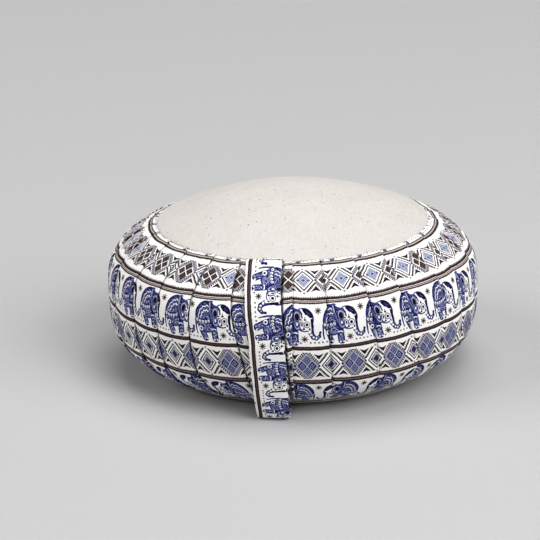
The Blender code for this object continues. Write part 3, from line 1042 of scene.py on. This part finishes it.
def paint_elephants(painter, along, down):
    """Rows of elephants with stars and dots between. The first and last rows walk the other way."""
    first = down.math("LESS_THAN", FIRST_ROW_END)
    last = down.above(LAST_ROW_START)
    mirrored = first + last
    turned = mirrored.scaled(MIRRORED_SHIFT, along * mirrored.scaled(-2.0, 1.0))
    feet = last.scaled(LAST_FEET - MIDDLE_FEET, MIDDLE_FEET)
    feet = first.scaled(FIRST_FEET - MIDDLE_FEET, feet)
    point = turned.wrapped(TRUNK_TIP - PRINT_REPEAT, PRINT_REPEAT).paired(feet - down)
    painter.draw(point, ELEPHANT_BODY)
    paint_blanket(painter, point)
    for number in range(OVAL_COUNT):
        place = OVAL_START + OVAL_PITCH * number
        height = OVAL_HEIGHT + OVAL_SAG * (number - OVAL_COUNT // 2) ** 2
        painter.spot(point, Spot(place, height, 1.10, 1.35, WHITE))
        painter.spot(point, Spot(place + 0.1, height - 0.2, 0.45, 0.6, DEEP))
    painter.draw(point, ELEPHANT_BELLY + ELEPHANT_HEAD)
    for place in STARS:
        paint_star(painter, point, place)
    for place in DOT_PLACES:
        painter.spot(point, Spot(*place, DOT_RADIUS, DOT_RADIUS, UMBER))


def paint_borders(painter, beside, away, reach, edgewise, plain, ornate):
    """What lies between the diamonds: toothed lines, beads, arrowheads and the crossings' ovals."""
    lay = painter.lay
    inside_band = away.within(BAND_HALF, EDGE)
    bars = away.within(BAR_END, EDGE) * away.within(BAR_START, -EDGE)
    plain_here = plain * bars
    ornate_here = ornate * inside_band

    # The toothed line round an outlined diamond, with its teeth outwards.
    saw = edgewise.scaled(DIAMOND_EDGE, 40.0).zigzag(TOOTH_PITCH)
    grown = saw.scaled(BAR_TOOTH * 2 / TOOTH_PITCH)
    distance = abs(reach - BAR_REACH - grown)
    lay((distance - grown).within(BAR_HALF, SOFT) * plain_here, UMBER)

    # Beads round a quartered diamond: a row of rings and a row of dots.
    beads = edgewise.scaled(DIAMOND_EDGE, 50 * BEAD_PITCH).wrapped(-BEAD_PITCH / 2, BEAD_PITCH)
    rows = reach.scaled(DIAMOND_EDGE, -DIAMOND_EDGE * BEAD_REACH)
    lay(beads.paired(rows).length().band(0.55, 0.36, 0.25) * ornate_here, PLUM)
    dots = beads.paired(rows - BEAD_ROW).length()
    lay(dots.within(0.75, EDGE) * ornate_here, PLUM)

    # Arrowheads above and below each crossing, and an oval in it.
    crossing = DIAMOND_PITCH / 2 - beside
    low_line = away - crossing.scaled(1.22, 6.0)
    high_line = crossing.scaled(0.36, 9.9) - away
    inner = low_line.scaled(0.6).math("MINIMUM", high_line)
    lay(inner.within(0, -0.35), UMBER)
    lay(inner.within(1.10, -0.45), NAVY)
    painter.spot(crossing.paired(away), Spot(0, 0, 0.95, 1.35, PLUM))
    tip = beside + abs(away - TIP_HEIGHT)
    lay(tip.band(0.75, 0.40, 0.4) * plain, PLUM)


def paint_outlined(painter, point, reach, plain, small):
    """Outlined diamonds: a dark line, white, and a core of fine rings, smaller in the lower band."""
    lay = painter.lay
    scaled = reach * small.scaled(0.09, 1.0)
    lay(scaled.band(0.925, 0.075, SOFT) * plain, UMBER)
    lay(scaled.band(0.630, 0.066, SOFT) * small, UMBER)
    core = (scaled - small.scaled(-0.20, 0.68)).within(0, SOFT) * plain
    lay(core, small.mixed(CORE, painter.ink(PLUM)))
    rings = scaled.scaled(1.0, 0.02).zigzag(RING_PITCH)
    lay(rings.within(0.030, FINE) * core, NAVY)
    lay(scaled.band(0.40, 0.030, FINE) * core, PALE)
    lay(scaled.within(0.10, 0.05) * plain, UMBER)
    lay(point.seen_from(SIDE_SPOT).length().within(1, 0.35) * plain, SIDE_SPOT.ink)


def paint_quartered(painter, wide, tall, reach, edgewise, ornate, lower):
    """Quartered diamonds: flowers above and below, squares at the sides, and white lines between."""
    lay = painter.lay
    dark = lower.mixed(painter.ink(UMBER), painter.ink(NAVY))
    light = lower.mixed(TAN, LACE_LIGHT)
    lay(reach.band(0.950, 0.030, FINE) * ornate, PLUM)
    body = reach.within(0.875, SOFT) * ornate
    lay(body, dark)
    upper = tall.math("GREATER_THAN", wide)
    sideways = (1.0 - upper) * body
    along_tall = wide + abs(tall - QUARTER_MIDDLE)
    along_wide = tall + abs(wide - QUARTER_MIDDLE)
    quarter = (along_tall - along_wide) * upper + along_wide
    around = quarter.within(0.350, -0.04) * lower.scaled(-0.85, 1.0)
    lay(around * sideways, WHITE)
    lay(quarter.band(0.350, 0.018, FINE) * upper * body, light)
    lay(quarter.band(0.190, 0.020, FINE) * body, light)
    lay(quarter.within(0.045, 0.04) * body, light)
    lines = lower.scaled(0.018, abs(edgewise)).within(0.034, FINE)
    lay(lines * body, WHITE)


def paint_diamonds(painter, along, down):
    """Two bands of diamonds. Outlined ones take turns with quartered ones that beads surround."""
    lower = down.above(LOWER_BAND_START)
    middle = lower.scaled(LOWER_DIAMONDS - UPPER_DIAMONDS, UPPER_DIAMONDS)
    placed = along - (DIAMOND_PHASE - DIAMOND_PITCH / 2)
    odd = placed.wrapped(0.0, PRINT_REPEAT).above(DIAMOND_PITCH)
    beside = abs(placed.wrapped(0.0, DIAMOND_PITCH) - DIAMOND_PITCH / 2)
    away = abs(down - middle)
    ornate = abs(odd - lower)
    plain = 1.0 - ornate
    small = lower * plain
    wide = beside.scaled(1 / DIAMOND_ACROSS)
    tall = away.scaled(1 / DIAMOND_UPWARD)
    reach, edgewise = wide + tall, wide - tall
    paint_borders(painter, beside, away, reach, edgewise, plain, ornate)
    paint_outlined(painter, beside.paired(away), reach, plain, small)
    shrunk = [value.scaled(ORNATE_SHRINK) for value in (wide, tall, reach, edgewise)]
    paint_quartered(painter, *shrunk, ornate, lower)


def print_colour(uv):
    """The colour of the printed cotton, and the place on the cloth."""
    along, down = uv.parts()
    place = along.paired(down)
    drift = place.noise(DRIFT_ALONG)
    drift_down = place.vector("ADD", (37.0, 11.0, 0)).noise(DRIFT_DOWN)
    ragged = place.noise(RAGGED_PITCH, 3.0)
    shade, tracery = (
        place.noise(tone.pitch, tone.detail).scaled(tone.contrast, tone.offset, clamp=True)
        for tone in (MOTTLING, TRACERY)
    )
    along = drift.scaled(DRIFT, along - DRIFT / 2)
    down = drift_down.scaled(DRIFT, down - DRIFT / 2)
    painter = Painter(WHITE, shade, tracery)
    paint_stripes(painter, along, down, ragged)
    paint_diamonds(painter, along, down)
    paint_elephants(painter, along, down)
    return painter.colour, place


def canvas_colour(place):
    """The colour of unbleached canvas with a few dark flecks, and the place on the cloth."""
    slubs = place.vector("MULTIPLY", (SLUB_STRETCH, 1.0, 0)).noise(SLUB_PITCH)
    slubs_across = place.vector("MULTIPLY", (1.0, SLUB_STRETCH, 0)).noise(SLUB_PITCH)
    clouds = place.noise(CLOUD_PITCH).scaled(0.5, -1.0)
    uneven = (slubs + slubs_across).scaled(1.0, clouds, clamp=True)
    colour = uneven.mixed(CANVAS_COLOUR, CANVAS_DARKER)
    for flecks in FLECKS:
        cell = FLECK_CELL * flecks.size
        distance = place.made("TexVoronoi", {"Vector": place, "Scale": 1 / cell})
        chance = Value(place.tree, distance.socket.node.outputs["Color"])
        spread = distance.scaled(cell)
        present = chance.dot(1, 0).above(1 - flecks.share)
        mask = spread.within(FLECK_RADIUS * flecks.size, 0.25)
        mask = mask * present * chance.dot(0, 0.7).scaled(1.0, 0.2)
        colour = mask.mixed(colour, FLECK)
    return colour, place


def add_material(name, roughness):
    """A matt material, its node tree and the node of its surface."""
    material = bpy.data.materials.new(name)
    material.use_nodes = True
    surface = material.node_tree.nodes["Principled BSDF"]
    surface.inputs["Roughness"].default_value = roughness
    return material, material.node_tree, surface


def woven_material(cloth, colour_at):
    """A woven cloth's material, coloured by a function of the place on the cloth."""
    material, tree, surface = add_material(cloth.slot, cloth.roughness)
    surface.inputs["Specular IOR Level"].default_value = cloth.shine
    uv_map = tree.nodes.new("ShaderNodeUVMap")
    uv_map.uv_map = cloth.uv_map
    colour, place = colour_at(Value(tree, uv_map.outputs[0]))
    feed(tree, surface.inputs["Base Color"], colour)
    feed(tree, surface.inputs["Normal"], place.weave(cloth.thread, cloth.bump, cloth.crumple))
    return material


# --- Camera, floor and light ---

LOOK_AT = Vector((0, 0, 0.0815))
CAMERA_DISTANCE = 2.07
CAMERA_AZIMUTH = math.radians(8.5)
CAMERA_ELEVATION = math.radians(18.67)
CAMERA_ROLL = math.radians(-0.64)
CAMERA_LENS = 147.07
CAMERA_SENSOR = 36
CAMERA_SHIFT = (-0.0422, 0.0074)
FLOOR_REACH = 6
FLOOR_HEIGHT = -0.0002
FLOOR_COLOUR = ink(195, 195, 196)
AMBIENT_STRENGTH = 0.10
AMBIENT_COLOUR = (1.0, 0.965, 0.93, 1)
# Broad lights: where each comes from, how wide it is in degrees, and its strength.
BroadLight = namedtuple("BroadLight", "name across away upward width strength")
BROAD_LIGHTS = (
    BroadLight("top_light", 0.04, 0.20, 1.0, 45, 1.13),
    BroadLight("left_light", -1.0, -0.30, 0.70, 45, 1.02),
    BroadLight("right_light", 1.0, -0.45, 0.75, 45, 1.22),
)
KEY_LIGHT_ENERGY = 22
KEY_LIGHT_SIZE = 1.8
KEY_LIGHT_PLACE = Vector((1.1, -1.3, 2.3))
LIGHT_AIM = Vector((0, 0, 0.05))
LIGHT_COLOUR = (1.0, 0.995, 0.99)
GAMMA = 0.95


def add_object(name, data):
    """A new object in the scene."""
    made = bpy.data.objects.new(name, data)
    bpy.context.scene.collection.objects.link(made)
    return made


def add_camera():
    """The camera, placed as in the photo."""
    data = bpy.data.cameras.new("camera")
    camera = add_object("camera", data)
    bpy.context.scene.camera = camera
    level = math.cos(CAMERA_ELEVATION)
    across, towards = math.sin(CAMERA_AZIMUTH) * level, math.cos(CAMERA_AZIMUTH) * level
    back = Vector((across, -towards, math.sin(CAMERA_ELEVATION)))
    turn = (-back).to_track_quat("-Z", "Y").to_matrix().to_4x4()
    roll = Matrix.Rotation(CAMERA_ROLL, 4, "Z")
    camera.matrix_world = Matrix.Translation(LOOK_AT + back * CAMERA_DISTANCE) @ turn @ roll
    data.lens = CAMERA_LENS
    data.sensor_width = CAMERA_SENSOR
    data.shift_x, data.shift_y = CAMERA_SHIFT


def add_floor():
    """A plain pale floor that fills the view."""
    turns = ((-1, -1), (1, -1), (1, 1), (-1, 1))
    points = [(FLOOR_REACH * x, FLOOR_REACH * y, FLOOR_HEIGHT) for x, y in turns]
    floor = mesh_object("floor", points, [(0, 1, 2, 3)])
    paper, _, surface = add_material("floor_paper", 0.9)
    surface.inputs["Base Color"].default_value = FLOOR_COLOUR
    floor.data.materials.append(paper)


def add_lamp(name, kind, place):
    """A lamp that shines from a place at the cushion."""
    data = bpy.data.lights.new(name, kind)
    data.color = LIGHT_COLOUR
    lamp = add_object(name, data)
    lamp.location = place
    lamp.rotation_mode = "QUATERNION"
    lamp.rotation_quaternion = (LIGHT_AIM - place).to_track_quat("-Z", "Y")
    return data


def add_lights():
    """A dim warm surround, broad light from above and both sides, and a large lamp, front right."""
    world = bpy.data.worlds.new("surround")
    bpy.context.scene.world = world
    world.use_nodes = True
    background = world.node_tree.nodes["Background"]
    background.inputs["Color"].default_value = AMBIENT_COLOUR
    background.inputs["Strength"].default_value = AMBIENT_STRENGTH
    for light in BROAD_LIGHTS:
        broad = add_lamp(light.name, "SUN", Vector((light.across, light.away, light.upward)) * 2)
        broad.angle = math.radians(light.width)
        broad.energy = light.strength
    key = add_lamp("key", "AREA", KEY_LIGHT_PLACE)
    key.shape = "DISK"
    key.size = KEY_LIGHT_SIZE
    key.energy = KEY_LIGHT_ENERGY


def set_view():
    """How light values become the picture's colours."""
    view = bpy.context.scene.view_settings
    view.view_transform = "Standard"
    view.look = "Medium High Contrast"
    view.gamma = GAMMA


add_camera()
add_floor()
add_lights()
set_view()

cotton = woven_material(COTTON, print_colour)
canvas = woven_material(CANVAS, canvas_colour)

side = build_side(cotton)
top = build_top(canvas)
bottom = build_bottom(canvas)
handle, handle_length = build_handle(cotton)

for piece, node, slot_name in (
    (side, "side_panel", "printed_cotton"),
    (top, "top_panel", "natural_canvas"),
    (bottom, "bottom_panel", "natural_canvas"),
    (handle, "carry_handle", "printed_cotton"),
):
    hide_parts(node)
    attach(piece, "root")
